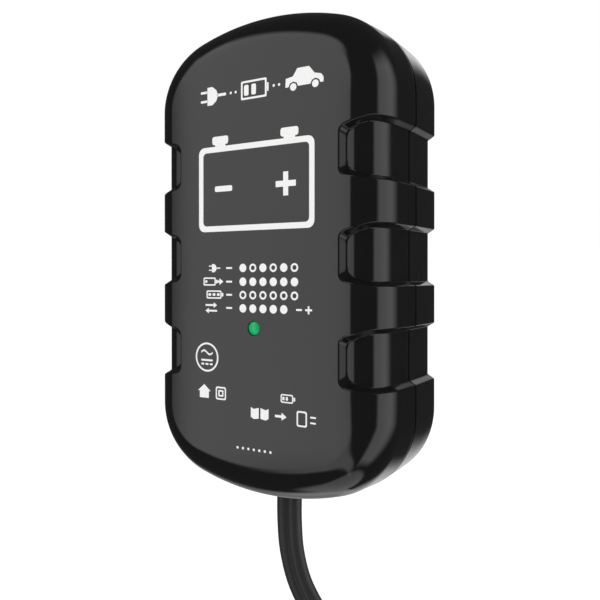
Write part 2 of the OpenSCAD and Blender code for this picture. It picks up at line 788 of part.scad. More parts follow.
// A torsion spring of three turns, its legs running up into the two handles.
spring_turns = 3;
spring_rings = 8;
spring_step = wire_d + 0.45;
spring_r = pin_d / 2 + wire_d / 2 + 0.5;
function spring_point(i) =
    let (turn = i / spring_rings, a = -360 * turn)
    [spring_r * cos(a), spring_step * (turn - (spring_turns + 0.5) / 2), spring_r * sin(a)];
spring_last = spring_rings * (spring_turns + 0.5);
spring_path = concat([spring_point(0) + [0, 0, 10], spring_point(0) + [0, 0, 1.5]],
    [for (i = [0 : spring_last]) spring_point(i)],
    [spring_point(spring_last) + [-0.6, 0, 1.5], spring_point(spring_last) + [-8.3, 0, 20]]);
spring_tube = let (along = directions(spring_path, [0, 0, -1], [-0.38, 0, 0.92]))
    [for (i = [0 : len(spring_path) - 1])
        ring(spring_path[i], along[i], 0, round_section(6, wire_d))];
spring_gap = min([for (i = [1 : len(spring_tube) - spring_rings - 2])
    for (k = [spring_rings - 1 : spring_rings + 1]) if (i + k < len(spring_tube) - 1)
        for (p = spring_tube[i]) for (q = spring_tube[i + k]) norm(p - q)]);
echo(spring_gap = spring_gap);

module clamp_spring() { color(tinned) tube(spring_tube); }

// The black clamp's lever is its right half; the red clamp is its mirror image.
module at_black() { translate([black_x, clamp_y, clamp_z]) children(); }
module at_red() { translate([red_x, clamp_y, clamp_z]) mirror([1, 0, 0]) children(); }
module left_half() { mirror([1, 0, 0]) children(); }

base_plate_w = clamp_w - 2 * clamp_wall - 2 * fit;
lever_plate_w = lever_w - 2 * clamp_wall - 2 * fit;

module red_clamp_base() { at_red() color(clamp_red) left_half() clamp_base(); }
module red_clamp_lever() { at_red() color(clamp_red) clamp_lever(); }
module red_clamp_pin() { at_red() pivot_pin(); }
module red_clamp_spring() { at_red() clamp_spring(); }
module red_base_plate() { at_red() left_half() jaw_plate(base_plate_w); }
module red_lever_plate() { at_red() jaw_plate(lever_plate_w); }
module black_clamp_base() { at_black() color(clamp_black) left_half() clamp_base(); }
module black_clamp_lever() { at_black() color(clamp_black) clamp_lever(); }
module black_clamp_pin() { at_black() pivot_pin(); }
module black_clamp_spring() { at_black() clamp_spring(); }
module black_base_plate() { at_black() left_half() jaw_plate(base_plate_w); }
module black_lever_plate() { at_black() jaw_plate(lever_plate_w); }

collar_top = clamp_z + handle_l + collar_l;
sleeve_end = [sleeve_at[0], sleeve_at[1], lead_start];
function single_route(side, clamp_x) = concat(
    from(sleeve_end, [[side * lead_gap, 0, 0], [side * lead_gap, 0, -4]]),
    from([sleeve_at[0], clamp_y, lead_start], [[side * 2.3, 0.9, -11], [side * 3.2, 0.5, -21],
                                              [side * 4.2, 0.2, -30]]),
    [[clamp_x - side * handle_x, clamp_y, collar_top + 5],
     [clamp_x - side * handle_x, clamp_y, collar_top]]);
red_route = single_route(-1, red_x);
black_route = single_route(1, black_x);

module red_lead() {
    color(clamp_red)
        swept(red_route, [0, 0, -1], [0, 0, -1], 0, 0, round_section(8, lead_d));
}
module black_lead() {
    color(clamp_black)
        swept(black_route, [0, 0, -1], [0, 0, -1], 0, 0, round_section(8, lead_d));
}

front_housing();
rear_housing();
housing_screws();
light_pipe();
status_led();
blade_carrier();
blade_left();
blade_right();
circuit_board();
input_fuse();
input_capacitor();
choke_core();
choke_winding();
bridge_rectifier();
bulk_capacitor();
transformer_core();
transformer_bobbin();
transformer_winding();
switching_transistor();
heat_sink();
optocoupler();
safety_capacitor();
output_diode();
output_capacitor();
control_chip();
output_wires();
cord_grip();
cord_lead();
cord_coil();
coil_tie();
cord_tail();
split_sleeve();
red_lead();
black_lead();
red_clamp_base();
red_clamp_lever();
red_clamp_pin();
red_clamp_spring();
red_base_plate();
red_lever_plate();
black_clamp_base();
black_clamp_lever();
black_clamp_pin();
black_clamp_spring();
black_base_plate();
black_lever_plate();
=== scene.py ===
import json
import math

import bpy
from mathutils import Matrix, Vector

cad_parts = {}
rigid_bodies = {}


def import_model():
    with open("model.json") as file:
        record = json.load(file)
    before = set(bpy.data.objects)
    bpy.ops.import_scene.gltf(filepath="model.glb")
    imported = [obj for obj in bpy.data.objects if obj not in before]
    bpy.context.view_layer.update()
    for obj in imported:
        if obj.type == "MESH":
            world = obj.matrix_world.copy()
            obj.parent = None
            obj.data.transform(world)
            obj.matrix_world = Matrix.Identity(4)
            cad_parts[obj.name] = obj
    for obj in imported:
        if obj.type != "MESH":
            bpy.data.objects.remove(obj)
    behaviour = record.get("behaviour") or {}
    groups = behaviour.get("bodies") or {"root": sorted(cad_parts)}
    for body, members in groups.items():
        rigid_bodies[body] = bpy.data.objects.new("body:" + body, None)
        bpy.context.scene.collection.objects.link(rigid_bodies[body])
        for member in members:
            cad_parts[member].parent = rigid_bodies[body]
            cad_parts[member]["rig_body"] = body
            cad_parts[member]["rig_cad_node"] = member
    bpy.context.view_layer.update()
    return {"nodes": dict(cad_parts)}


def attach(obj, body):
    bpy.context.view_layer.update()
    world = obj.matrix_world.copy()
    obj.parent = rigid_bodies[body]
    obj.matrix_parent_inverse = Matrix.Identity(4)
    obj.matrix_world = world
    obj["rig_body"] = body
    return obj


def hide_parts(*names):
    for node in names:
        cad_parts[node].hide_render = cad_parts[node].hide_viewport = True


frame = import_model()
mm = 0.001
print("frame loaded:", len(frame["nodes"]), "nodes")


# ---- small modelling helpers ----

def letGo():
    if bpy.context.object and bpy.context.object.mode != "OBJECT":
        bpy.ops.object.mode_set(mode="OBJECT")
    bpy.ops.object.select_all(action="DESELECT")


def pick(*pieces):
    letGo()
    for piece in pieces:
        piece.select_set(True)
    bpy.context.view_layer.objects.active = pieces[0]


def editAll(piece):
    pick(piece)
    bpy.ops.object.mode_set(mode="EDIT")
    bpy.ops.mesh.select_all(action="SELECT")


def settle(piece):
    # puts the place, turn and size of an object into its mesh
    pick(piece)
    bpy.ops.object.transform_apply(location=True, rotation=True, scale=True)
    return piece


def addModifier(piece, kind, **settings):
    modifier = piece.modifiers.new(kind.title(), kind)
    for key, value in settings.items():
        setattr(modifier, key, value)
    return modifier


def applyModifiers(piece):
    pick(piece)
    for modifier in list(piece.modifiers):
        bpy.ops.object.modifier_apply(modifier=modifier.name)


def smooth(piece, degrees=35):
    pick(piece)
    bpy.ops.object.shade_smooth_by_angle(angle=math.radians(degrees))


def turnOutwards(piece):
    editAll(piece)
    bpy.ops.mesh.remove_doubles(threshold=1e-7)
    bpy.ops.mesh.normals_make_consistent(inside=False)
    bpy.ops.object.mode_set(mode="OBJECT")


def cut(piece, *cutters):
    # takes the cutters out of the piece and removes them
    for cutter in cutters:
        addModifier(piece, "BOOLEAN", operation="DIFFERENCE", solver="EXACT", object=cutter)
    applyModifiers(piece)
    for cutter in cutters:
        bpy.data.objects.remove(cutter)


def block(name, low, high):
    letGo()
    centre = [(a + b) / 2 * mm for a, b in zip(low, high)]
    bpy.ops.mesh.primitive_cube_add(size=1, location=centre)
    piece = bpy.context.object
    piece.name = name
    piece.scale = [(b - a) * mm for a, b in zip(low, high)]
    return settle(piece)


def loft(name, rings, closed=True):
    # a circle is extruded once for each ring, and every ring then goes to its own outline
    letGo()
    count = len(rings[0])
    bpy.ops.mesh.primitive_circle_add(vertices=count, radius=1, fill_type="NOTHING")
    piece = bpy.context.object
    piece.name = name
    bpy.ops.object.mode_set(mode="EDIT")
    bpy.ops.mesh.select_all(action="SELECT")
    for level in range(len(rings) - 1):
        bpy.ops.mesh.extrude_edges_move(TRANSFORM_OT_translate={"value": (0, 0, 1)})
    bpy.ops.object.mode_set(mode="OBJECT")
    ends = [[], []]
    for vertex in piece.data.vertices:
        level = round(vertex.co.z)
        angle = math.atan2(vertex.co.y, vertex.co.x) - math.pi / 2
        place = round(angle / (2 * math.pi) * count) % count
        if level == 0:
            ends[0].append(vertex.index)
        if level == len(rings) - 1:
            ends[1].append(vertex.index)
        vertex.co = Vector(rings[level][place]) * mm
    if closed:
        for end in ends:
            editAll(piece)
            bpy.ops.mesh.select_all(action="DESELECT")
            bpy.ops.object.mode_set(mode="OBJECT")
            for index in end:
                piece.data.vertices[index].select = True
            bpy.ops.object.mode_set(mode="EDIT")
            bpy.ops.mesh.select_mode(type="VERT")
            bpy.ops.mesh.edge_face_add()
    turnOutwards(piece)
    return piece


def boxPoints(x, z, width, height, radius=0.25):
    points = []
    for corner, (sx, sz) in enumerate(((1, 1), (-1, 1), (-1, -1), (1, -1))):
        for step in range(5):
            a = math.radians(90 * corner + 22.5 * step)
            points.append((x + sx * (width / 2 - radius) + radius * math.cos(a),
                           z + sz * (height / 2 - radius) + radius * math.sin(a)))
    return points


def crossPoints(x, z, size, line):
    a, b = size / 2, line / 2
    return [(x + px, z + pz) for px, pz in
            [(a, -b), (a, b), (b, b), (b, a), (-b, a), (-b, b), (-a, b), (-a, -b), (-b, -b),
             (-b, -a), (b, -a), (b, -b)]]


def turned(name, centre, profile, count=48, axis="Y"):
    # a lathe form: the profile is (radius, distance along the axis)
    rings = []
    for radius, along in profile:
        ring = []
        for i in range(count):
            a = 2 * math.pi * i / count
            across = (radius * math.cos(a), radius * math.sin(a))
            offset = {"Y": (across[0], along, across[1]), "Z": (across[0], across[1], along),
                      "X": (along, across[0], across[1])}[axis]
            ring.append([c + o for c, o in zip(centre, offset)])
        rings.append(ring)
    return loft(name, rings)


def join(name, pieces):
    pick(*pieces)
    if len(pieces) > 1:
        bpy.ops.object.join()
    piece = bpy.context.object
    piece.name = name
    return piece


# ---- camera ----

cameraPlace = {
    "location": (0.09018, -0.15578, -0.02259),
    "turn": 31.56,              # degrees round the vertical, towards the right side
    "tilt": -0.27,              # degrees above the level
    "lens": 41.41,
    "shift": (-0.008, -0.0333),
}
letGo()
bpy.ops.object.camera_add(location=cameraPlace["location"],
                          rotation=(math.radians(90 + cameraPlace["tilt"]), 0,
                                    math.radians(cameraPlace["turn"])))
camera = bpy.context.object
camera.name = "camera"
camera.data.lens = cameraPlace["lens"]
camera.data.sensor_width = 36
camera.data.sensor_fit = "HORIZONTAL"
camera.data.shift_x, camera.data.shift_y = cameraPlace["shift"]
camera.data.clip_start = 0.01
bpy.context.scene.camera = camera


# ---- cords ----

cordShape = {
    "width": 6.7, "thick": 3.6, "waist": 1.15, "lead": 3.3,
    "exit": (0, -16, -74),
    "coilX": -2.5, "coilRear": -12.4, "coilZ": -154, "coilRadius": 44,
    "step": 4.1, "layer": 7.2, "turns": 7, "from": 45, "to": 120, "perTurn": 48,
    "sleeve": (5.2, -30.5, -124), "sleeveLength": 15,
    "clampY": -31.5, "collarTop": -180, "redX": -14, "blackX": 24, "handleX": 14.25,
    "pivotZ": -226,
    "inHandle": ((14.2, 43.5), (13.1, 37), (11.1, 26), (9.45, 16), (8.15, 8), (7.1, 1), (6.95, -4)),
}


def ease(share):
    share = min(1, max(0, share))
    return share * share * (3 - 2 * share)


def coilPoint(turn):
    shape = cordShape
    total = shape["turns"] - (shape["to"] - shape["from"]) / 360
    angle = math.radians(shape["from"] - 360 * turn)
    radius = shape["coilRadius"] - shape["step"] * min(turn, total - turn)
    climb = min(1, max(0, (turn - total / 2 + 0.25) / 0.5))
    return Vector((shape["coilX"] + radius * math.cos(angle),
                   shape["coilRear"] - shape["layer"] * climb,
                   shape["coilZ"] + radius * math.sin(angle)))


def coilHeading(degrees):
    a = math.radians(degrees)
    return Vector((math.sin(a), 0, -math.cos(a)))


def smoothRoute(points, first, last, steps=5):
    # a smooth line through the points, leaving and arriving along the two directions
    points = [Vector(p) for p in points]
    tangents = []
    for i, point in enumerate(points):
        if i == 0:
            tangents.append(Vector(first).normalized() * (points[1] - point).length)
        elif i == len(points) - 1:
            tangents.append(Vector(last).normalized() * (point - points[i - 1]).length)
        else:
            before, after = (point - points[i - 1]).length, (points[i + 1] - point).length
            tangents.append((points[i + 1] - points[i - 1]) / (before + after))
    route = []
    for i in range(len(points) - 1):
        a, b = points[i], points[i + 1]
        span = (b - a).length
        ta = tangents[i].normalized() * span
        tb = tangents[i + 1].normalized() * span
        for k in range(steps):
            t = k / steps
            route.append(a * (2 * t**3 - 3 * t**2 + 1) + ta * (t**3 - 2 * t**2 + t)
                         + b * (3 * t**2 - 2 * t**3) + tb * (t**3 - t**2))
    route.append(points[-1])
    return route


def twinSection():
    # two round wires side by side with a waist between them
    wire = cordShape["thick"] / 2
    centre = cordShape["width"] / 2 - wire
    right = [(centre + wire * math.cos(math.radians(a)), wire * math.sin(math.radians(a)))
             for a in range(-126, 127, 18)]
    left = [(-x, -y) for x, y in right]
    return right + [(0, cordShape["waist"])] + left + [(0, -cordShape["waist"])]


def sweep(name, route, turns, section, first, last):
    # turns gives the angle of the section's wide side, from across towards the wall
    rings = []
    for i, point in enumerate(route):
        if i == 0:
            along = Vector(first)
        elif i == len(route) - 1:
            along = Vector(last)
        else:
            along = route[i + 1] - route[i - 1]
        along.normalize()
        back = (Vector((0, 1, 0)) - along * along.y).normalized()
        across = along.cross(back)
        angle = math.radians(turns[i])
        wide = across * math.cos(angle) + back * math.sin(angle)
        thin = back * math.cos(angle) - across * math.sin(angle)
        rings.append([point + wide * x + thin * y for x, y in section])
    piece = loft(name, rings)
    smooth(piece, 60)
    return piece


def routeLength(route):
    return sum((b - a).length for a, b in zip(route, route[1:])) * mm


def makeTwinCord():
    shape = cordShape
    start, sleeve = Vector(shape["exit"]), Vector(shape["sleeve"])
    total = shape["turns"] - (shape["to"] - shape["from"]) / 360
    coilIn = coilPoint(0) - coilHeading(shape["from"]) * shape["width"]
    coilOut = coilPoint(total) + coilHeading(shape["to"]) * shape["width"]
    lead = [start + Vector(p) for p in [(0, 0, 0), (0, 0, -7), (0.7, 0, -14.5), (3, 0.2, -22),
            (7.2, 0.8, -28.6), (12.2, 1.8, -34), (17.6, 2.8, -38.8)]] + [coilIn]
    tail = [coilOut] + [sleeve + Vector(p) for p in [(-20.6, 10.1, 13.2), (-16.4, 8.6, 14.8),
            (-11.1, 6.5, 14.8), (-6, 4, 12.6), (-1.9, 1.9, 8.2), (-0.2, 0.5, 3.6), (0, 0, 0)]]
    leadRoute = smoothRoute(lead, (0, 0, -1), coilHeading(shape["from"]))
    tailRoute = smoothRoute(tail, coilHeading(shape["to"]), (0, 0, -1))
    steps = round(total * shape["perTurn"])
    coil = [coilPoint(total * i / steps) for i in range(steps + 1)]
    route = leadRoute + coil + tailRoute
    share = [i / (len(leadRoute) - 1) for i in range(len(leadRoute))]
    turns = [-6 - 8 * s - 76 * ease(s * 2 - 1) for s in share]
    turns += [-90] * len(coil)
    turns += [-90 + 90 * ease(i / (len(tailRoute) - 1)) for i in range(len(tailRoute))]
    piece = sweep("twinCord", route, turns, twinSection(), (0, 0, -1), (0, 0, -1))
    return piece, route


def makeSingleLead(name, side, clampX):
    shape = cordShape
    x, y, z = shape["sleeve"][0], shape["sleeve"][1], shape["sleeve"][2] - shape["sleeveLength"]
    clampY, top = shape["clampY"], shape["collarTop"]
    end = clampX - side * shape["handleX"]
    points = [(x + side * 1.95, y, z), (x + side * 1.95, y, z - 4),
              (x + side * 2.3, clampY + 0.9, z - 11), (x + side * 3.2, clampY + 0.5, z - 21),
              (x + side * 4.2, clampY + 0.2, z - 30), (end, clampY, top + 5), (end, clampY, top)]
    # on through the handle's channel to the jaw plate
    points += [(clampX - side * away, clampY, shape["pivotZ"] + up) for away, up in shape["inHandle"]]
    route = smoothRoute(points, (0, 0, -1), (0, 0, -1))
    round16 = [(shape["lead"] / 2 * math.cos(2 * math.pi * i / 16),
                shape["lead"] / 2 * math.sin(2 * math.pi * i / 16)) for i in range(16)]
    return sweep(name, route, [0] * len(route), round16, (0, 0, -1), (0, 0, -1)), route


twinCord, twinRoute = makeTwinCord()
redLead, redRoute = makeSingleLead("redLead", -1, cordShape["redX"])
blackLead, blackRoute = makeSingleLead("blackLead", 1, cordShape["blackX"])
print("cords made:", round(routeLength(twinRoute), 3), round(routeLength(redRoute), 3),
      round(routeLength(blackRoute), 3))


# ---- housing ----

housing = {
    "height": 112, "width": 63, "depth": 30.7, "rearDepth": 13.5, "rise": 18,
    "cornerRadius": 18.8, "crownRadius": 62.5,
    "roundSide": 6.6, "roundCrown": 8.3, "roundDeep": 10, "draft": 0.4, "rearRadius": 1.6,
    "wall": 3.5, "pitch": 22, "mouth": 13.3, "floor": 11.3, "recess": 1.65,
    "reach": 10, "endRun": 1.0, "endRadius": 1.5, "softness": 0.11, "taper": (0.15, 0.1),
    "flare": 0.05,
    "seam": 0.32, "seamDeep": 0.5, "panelHeight": -35,
}
half = {"w": housing["width"] / 2, "h": housing["height"] / 2}
crownZ = half["h"] - housing["crownRadius"]
fan = math.degrees(math.asin((half["w"] - housing["cornerRadius"])
                             / (housing["crownRadius"] - housing["cornerRadius"])))
straight = crownZ + (housing["crownRadius"] - housing["cornerRadius"]) * math.cos(math.radians(fan))
cornerX = half["w"] - housing["cornerRadius"]


def arc(start, end, steps, centre, radius):
    stations = []
    for i in range(steps):
        a = math.radians(start + (end - start) * i / steps)
        stations.append((centre[0] + radius * math.cos(a), centre[1] + radius * math.sin(a),
                         math.cos(a), math.sin(a)))
    return stations


def sideHeights():
    # close together where a recess has a wall, wide apart elsewhere
    rim, bed = housing["mouth"] / 2, housing["floor"] / 2
    steps = [rim + 0.12 * k for k in range(-3, 3)] + [bed + 0.12 * k for k in range(-12, 4)]
    steps += [bed + 0.52, bed + 0.66, rim + 0.6, bed - 2, bed - 2.8]
    marks = {round(straight, 4)}
    for recess in (-1, 0, 1):
        middle = recess * housing["pitch"]
        marks.update(round(middle + sign * step, 4) for step in steps for sign in (-1, 1))
        marks.update(round(middle + k, 4) for k in (-1.5, 0, 1.5))
    for sign in (-1, 1):
        marks.update(round(sign * (housing["pitch"] / 2 + k), 4) for k in (-1.8, 0, 1.8))
        marks.update(round(sign * (30.4 + k * 1.6), 4) for k in (0, 1, 2))
    return sorted(marks, reverse=True)


def outline():
    r, top = housing["cornerRadius"], housing["crownRadius"]
    left = (arc(90, 90 + fan, 16, (0, crownZ), top)
            + arc(90 + fan, 180, 28, (-cornerX, straight), r)
            + [(-half["w"], z, -1, 0) for z in sideHeights()]
            + arc(180, 270 - fan, 28, (-cornerX, -straight), r)
            + arc(270 - fan, 270, 16, (0, -crownZ), top))
    return left + [(-x, -z, -nx, -nz) for x, z, nx, nz in left]


def recessDepth(z, inset):
    # how deep the grip recesses are at this height and distance from the side
    middle = max(-1, min(1, round(z / housing["pitch"]))) * housing["pitch"]
    p = housing["mouth"] / 2 - abs(z - middle)
    q = housing["reach"] - inset
    a = (housing["mouth"] - housing["floor"]) / 2 + housing["flare"] * max(0, inset - 2)
    b, r = housing["endRun"], housing["endRadius"]
    t = min(p / a, q / b)
    cross, reach = a * (q - r) - b * (p - r), (a * a + b * b) * r * r
    if p - a * t < r and q - b * t < r and cross * cross < reach:
        # in a corner the rim and the bed are both rounded with the same radius
        t = (a * (p - r) + b * (q - r) + math.sqrt(reach - cross * cross)) / (a * a + b * b)
    soft = housing["softness"]
    if t <= -soft:
        return 0
    if t < soft:
        return housing["recess"] * (t + soft) ** 2 / (4 * soft)
    if t < 1 - soft:
        return housing["recess"] * t
    if t < 1 + soft:
        return housing["recess"] * (1 - (1 + soft - t) ** 2 / (4 * soft))
    return housing["recess"]


def taperedHeight(z, inset):
    # the recesses grow narrower over the front face, the ribs wider
    middle = max(-1, min(1, round(z / housing["pitch"]))) * housing["pitch"]
    far, rim = abs(z - middle), housing["mouth"] / 2
    loss = housing["taper"][0 if z > middle else 1] * (inset - 3 + math.hypot(inset - 3, 0.8))
    share = far / rim if far < rim else max(0, 1 - (far - rim) / (housing["pitch"] / 2 - rim))
    return z - math.copysign(loss * share, z - middle)


def shellRing(level, stations):
    # a level is (inset, y, extra inset at the crowned ends, recess inwards, recess backwards)
    inset, y, extra, inwards, backwards = level
    ring = []
    for x, z, nx, nz in stations:
        here, depth = inset + extra * nz * nz, 0
        if nz == 0 and (inwards or backwards):
            depth = recessDepth(z, here)
            z = taperedHeight(z, here)
        here += inwards * depth
        ring.append((x - here * nx, y + backwards * depth, z - here * nz - housing["rise"]))
    return ring


def roundLevel(degrees):
    h, a = housing, math.radians(degrees)
    out = Vector((math.cos(a) / h["roundSide"], math.sin(a) / h["roundDeep"])).normalized()
    near = 1 - math.cos(a)
    return (h["draft"] + h["roundSide"] * near, -h["depth"] + h["roundDeep"] * (1 - math.sin(a)),
            (h["roundCrown"] - h["roundSide"]) * near, out.x, out.y)


def makeFrontShell(stations):
    h = housing
    extra = h["roundCrown"] - h["roundSide"]
    seam, deep, rim = h["seam"], h["seamDeep"], -h["rearDepth"]
    levels = [(h["reach"] - step, -h["depth"], extra, 0, 1) for step in
              (-0.9, -0.3, -0.13, -0.09, -0.03, 0.03, 0.09, 0.13, 0.3, 0.5, 0.7, 0.87, 0.91,
               0.97, 1.03, 1.09, 1.13, 1.3, 1.5, 1.75, 2, 2.3, 2.6)]
    levels += [roundLevel(a) for a in [90 - 3.75 * k for k in range(25)]]
    levels += [(h["draft"] * 0.5, (rim - h["depth"] + h["roundDeep"]) / 2, 0, 1, 0),
               (0.02, rim - seam - 0.25, 0, 1, 0), (0.0, rim - seam, 0, 1, 0),
               (0.05, rim - seam * 0.6, 0, 1, 0), (deep, rim - 0.04, 0, 1, 0),
               (h["wall"], rim - 0.04, 0, 0, 0),
               (h["wall"] + h["draft"], -h["depth"] + h["roundDeep"] - 1, 0, 0, 0),
               (h["wall"] + 1.6, h["wall"] - h["depth"] + 1.3, 0, 0, 0),
               (h["wall"] + 5, h["wall"] - h["depth"], 0, 0, 0)]
    piece = loft("frontShell", [shellRing(level, stations) for level in levels])
    front = -h["depth"]
    lensHole = turned("lensHole", (0, 0, lens["height"]),
                      [(2.0, front - 1), (1.7, front - 0.001), (1.56, front + 0.13), (1.56, -27.4),
                       (2.45, -27.4), (2.45, -25)], 64)
    notch = block("notch", (-4.75, -19.05, -75), (4.75, -12, -68.5))
    cut(piece, lensHole, notch)
    smooth(piece, 32)
    return piece


def makeRearShell(stations):
    h = housing
    seam, deep, rim, r = h["seam"], h["seamDeep"], -h["rearDepth"], h["rearRadius"]
    wall, floor = 4.85, 2.5
    levels = [(wall + 1.3, -floor, 0, 0, 0), (wall + 0.3, -floor - 1, 0, 0, 0),
              (wall, rim - 2, 0, 0, 0), (h["wall"] + 0.35, rim - 2, 0, 0, 0),
              (h["wall"] + 0.15, rim - 1.8, 0, 0, 0), (h["wall"] + 0.15, rim + 0.04, 0, 0, 0),
              (deep, rim + 0.04, 0, 1, 0), (0.05, rim + seam * 0.6, 0, 1, 0),
              (0.0, rim + seam, 0, 1, 0), (0.02, rim + seam + 0.25, 0, 1, 0),
              (h["draft"] * 0.5, rim / 2, 0, 1, 0)]
    levels += [(h["draft"] + r * (1 - math.cos(a)), -r + r * math.sin(a), 0, 1, 0)
               for a in [math.pi / 2 * k / 12 for k in range(13)]]
    levels += [(4.6, 0, 0, 0, 0), (5.2, 0, 0, 0, 0)]
    piece = loft("rearShell", [shellRing(level, stations) for level in levels])
    cutters = []
    for x in (-20.5, 20.5):
        for z in (-40, 40):
            cutters.append(turned("well", (x, 0, z - h["rise"]),
                                  [(3.05, 1), (3.05, 0.001), (2.75, -0.35), (2.75, -6), (1.6, -6),
                                   (1.6, -14)], 40))
    for x in (-6.35, 6.35):
        cutters.append(block("slot", (x - 0.8, -4, -3.225), (x + 0.8, 1, 3.225)))
    panel = boxPoints(0, h["panelHeight"], 34, 30, 2.5)
    cutters.append(loft("panel", [[(x, y, z) for x, z in panel] for y in (1, -0.6)]))
    cutters.append(block("gripRoom", (-7.3, -16, -74), (7.3, -13, -64)))
    cut(piece, *cutters)
    smooth(piece, 32)
    return piece


lens = {"height": -34.1, "radius": 1.5, "proud": 0.25}
stations = outline()
frontShell = makeFrontShell(stations)
rearShell = makeRearShell(stations)
print("housing made:", len(frontShell.data.polygons), "and", len(rearShell.data.polygons), "faces")


def makeLens():
    front, r = -housing["depth"] - lens["proud"], lens["radius"]
    dome = [(r * math.sin(math.radians(a)), front + 0.45 * (1 - math.cos(math.radians(a))))
            for a in (4, 12, 20, 28, 36, 44, 52, 60, 68, 76, 84, 90)]
    piece = turned("statusLens", (0, 0, lens["height"]),
                   dome + [(r, -27.6), (2.4, -27.5), (2.4, -26.4), (1.3, -26.3), (1.3, -17)], 48)
    smooth(piece, 40)
    return piece


statusLens = makeLens()
print("lens made")


# ---- clamps, blades and other pieces finished from their solids ----

clampShape = {
    "y": -31.5, "z": -226, "redX": -14, "blackX": 24, "baseWidth": 13.6, "leverWidth": 9.8,
    "ribs": 7, "ribStep": 2.7, "ribFrom": 17, "ribProud": 0.45, "mark": 4.4, "markLine": 1.3,
    "wire": 1.1, "coil": 2.55, "pitch": 1.55, "turns": 3.5, "perTurn": 20,
}


def refined(node, name, width, segments=3, degrees=30):
    # a merged copy of a solid, with its edges rounded
    pick(frame["nodes"][node])
    bpy.ops.object.duplicate()
    piece = bpy.context.object
    piece.name = name
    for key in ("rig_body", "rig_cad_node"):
        del piece[key]
    piece.parent = None
    editAll(piece)
    bpy.ops.mesh.remove_doubles(threshold=2e-5)
    bpy.ops.mesh.dissolve_limited(angle_limit=math.radians(1))
    bpy.ops.object.mode_set(mode="OBJECT")
    addModifier(piece, "BEVEL", width=width * mm, segments=segments, limit_method="ANGLE",
                angle_limit=math.radians(degrees), use_clamp_overlap=False)
    applyModifiers(piece)
    smooth(piece, 35)
    return piece


def gripRibs(side, clampX, width):
    # cross ribs on the outer face of a handle, one above the other
    shape = clampShape
    lean = math.atan2(5.4, 33)
    rib = block("rib", (-0.5, -width / 2, -0.6), (shape["ribProud"], width / 2, 0.6))
    addModifier(rib, "BEVEL", width=0.35 * mm, segments=3)
    addModifier(rib, "ARRAY", count=shape["ribs"], use_relative_offset=False,
                use_constant_offset=True,
                constant_offset_displace=(0, 0, shape["ribStep"] * mm))
    applyModifiers(rib)
    if side < 0:
        rib.rotation_euler = (0, 0, math.pi)
        settle(rib)
    up = shape["ribFrom"]
    rib.rotation_euler = (0, side * lean, 0)
    rib.location = ((clampX + side * (11.6 + (up - 8) * 5.4 / 33)) * mm, shape["y"] * mm,
                    (shape["z"] + up) * mm)
    settle(rib)
    smooth(rib, 35)
    return rib


def polarityMark(x, sides, z, plus):
    # a raised plus or minus on both cheeks of a handle
    shape, pieces = clampShape, []
    far, near = shape["mark"] / 2, shape["markLine"] / 2
    corners = [(far, near), (near, near), (near, far), (-near, far), (-near, near), (-far, near)]
    if not plus:
        corners = [(far, near), (0, near), (-far, near)]
    corners += [(-px, -pz) for px, pz in corners]
    for y in sides:
        pieces.append(loft("mark", [[(x + px, level, z + pz) for px, pz in corners]
                                    for level in (y - 0.5, y + 0.5)]))
    for piece in pieces:
        addModifier(piece, "BEVEL", width=0.15 * mm, segments=2)
        applyModifiers(piece)
    return pieces


def makeSpring(name, side, clampX):
    # three and a half turns round the pin, with a leg up each handle
    shape = clampShape
    count = round(shape["turns"] * shape["perTurn"])
    coil = []
    for i in range(count + 1):
        turn = i / shape["perTurn"]
        a = -2 * math.pi * turn
        coil.append(Vector((shape["coil"] * math.cos(a),
                            shape["pitch"] * (turn - shape["turns"] / 2),
                            shape["coil"] * math.sin(a))))
    route = [coil[0] + Vector((0, 0, 10)), coil[0] + Vector((0, 0, 1.5))] + coil
    route += [coil[-1] + Vector((-0.6, 0, 1.5)), coil[-1] + Vector((-8.3, 0, 20))]
    place = Vector((clampX, shape["y"], shape["z"]))
    route = [place + Vector((side * p.x, p.y, p.z)) for p in route]
    section = [(shape["wire"] / 2 * math.cos(2 * math.pi * i / 12),
                shape["wire"] / 2 * math.sin(2 * math.pi * i / 12)) for i in range(12)]
    piece = sweep(name, route, [0] * len(route), section, (0, 0, -1), (-0.38 * side, 0, 0.92))
    smooth(piece, 60)
    return piece


def makeClamp(colour, clampX, leverSide, plus):
    # the base half takes the lead, the lever half turns on the pin
    shape = clampShape
    base = refined(colour + "_clamp_base", "base", 0.5)
    ribs = gripRibs(-leverSide, clampX, shape["baseWidth"] - 3)
    marks = polarityMark(clampX - leverSide * 10.2, [shape["y"] - shape["baseWidth"] / 2,
                         shape["y"] + shape["baseWidth"] / 2], shape["z"] + 16, plus)
    base = join(colour + "ClampBase", [base, ribs] + marks)
    wireX, wireZ = clampX - leverSide * 6.95, shape["z"]
    plate = refined(colour + "_base_plate", "plate", 0.1, 2)
    ferrule = turned("ferrule", (wireX, shape["y"], wireZ),
                     [(1.6, -5.6), (1.9, -5.3), (1.9, -4.6), (1.78, -4.4), (1.78, -3.6), (1.9, -3.4),
                      (1.9, -2.7), (1.7, -2.5)], 32, "Z")
    smooth(ferrule, 40)
    tab = block("tab", (wireX - 0.8, shape["y"] - 1.5, wireZ - 9.9),
                (wireX + 0.1, shape["y"] + 1.5, wireZ - 4.6))
    lever = refined(colour + "_clamp_lever", "lever", 0.5)
    lever = join(colour + "ClampLever", [lever, gripRibs(leverSide, clampX,
                                                         shape["leverWidth"] - 2.4)])
    return {
        "base": base, "lever": lever,
        "pin": refined(colour + "_clamp_pin", colour + "ClampPin", 0.35),
        "spring": makeSpring(colour + "ClampSpring", leverSide, clampX),
        "basePlate": join(colour + "BasePlate", [plate, ferrule, tab]),
        "leverPlate": refined(colour + "_lever_plate", colour + "LeverPlate", 0.1, 2),
    }


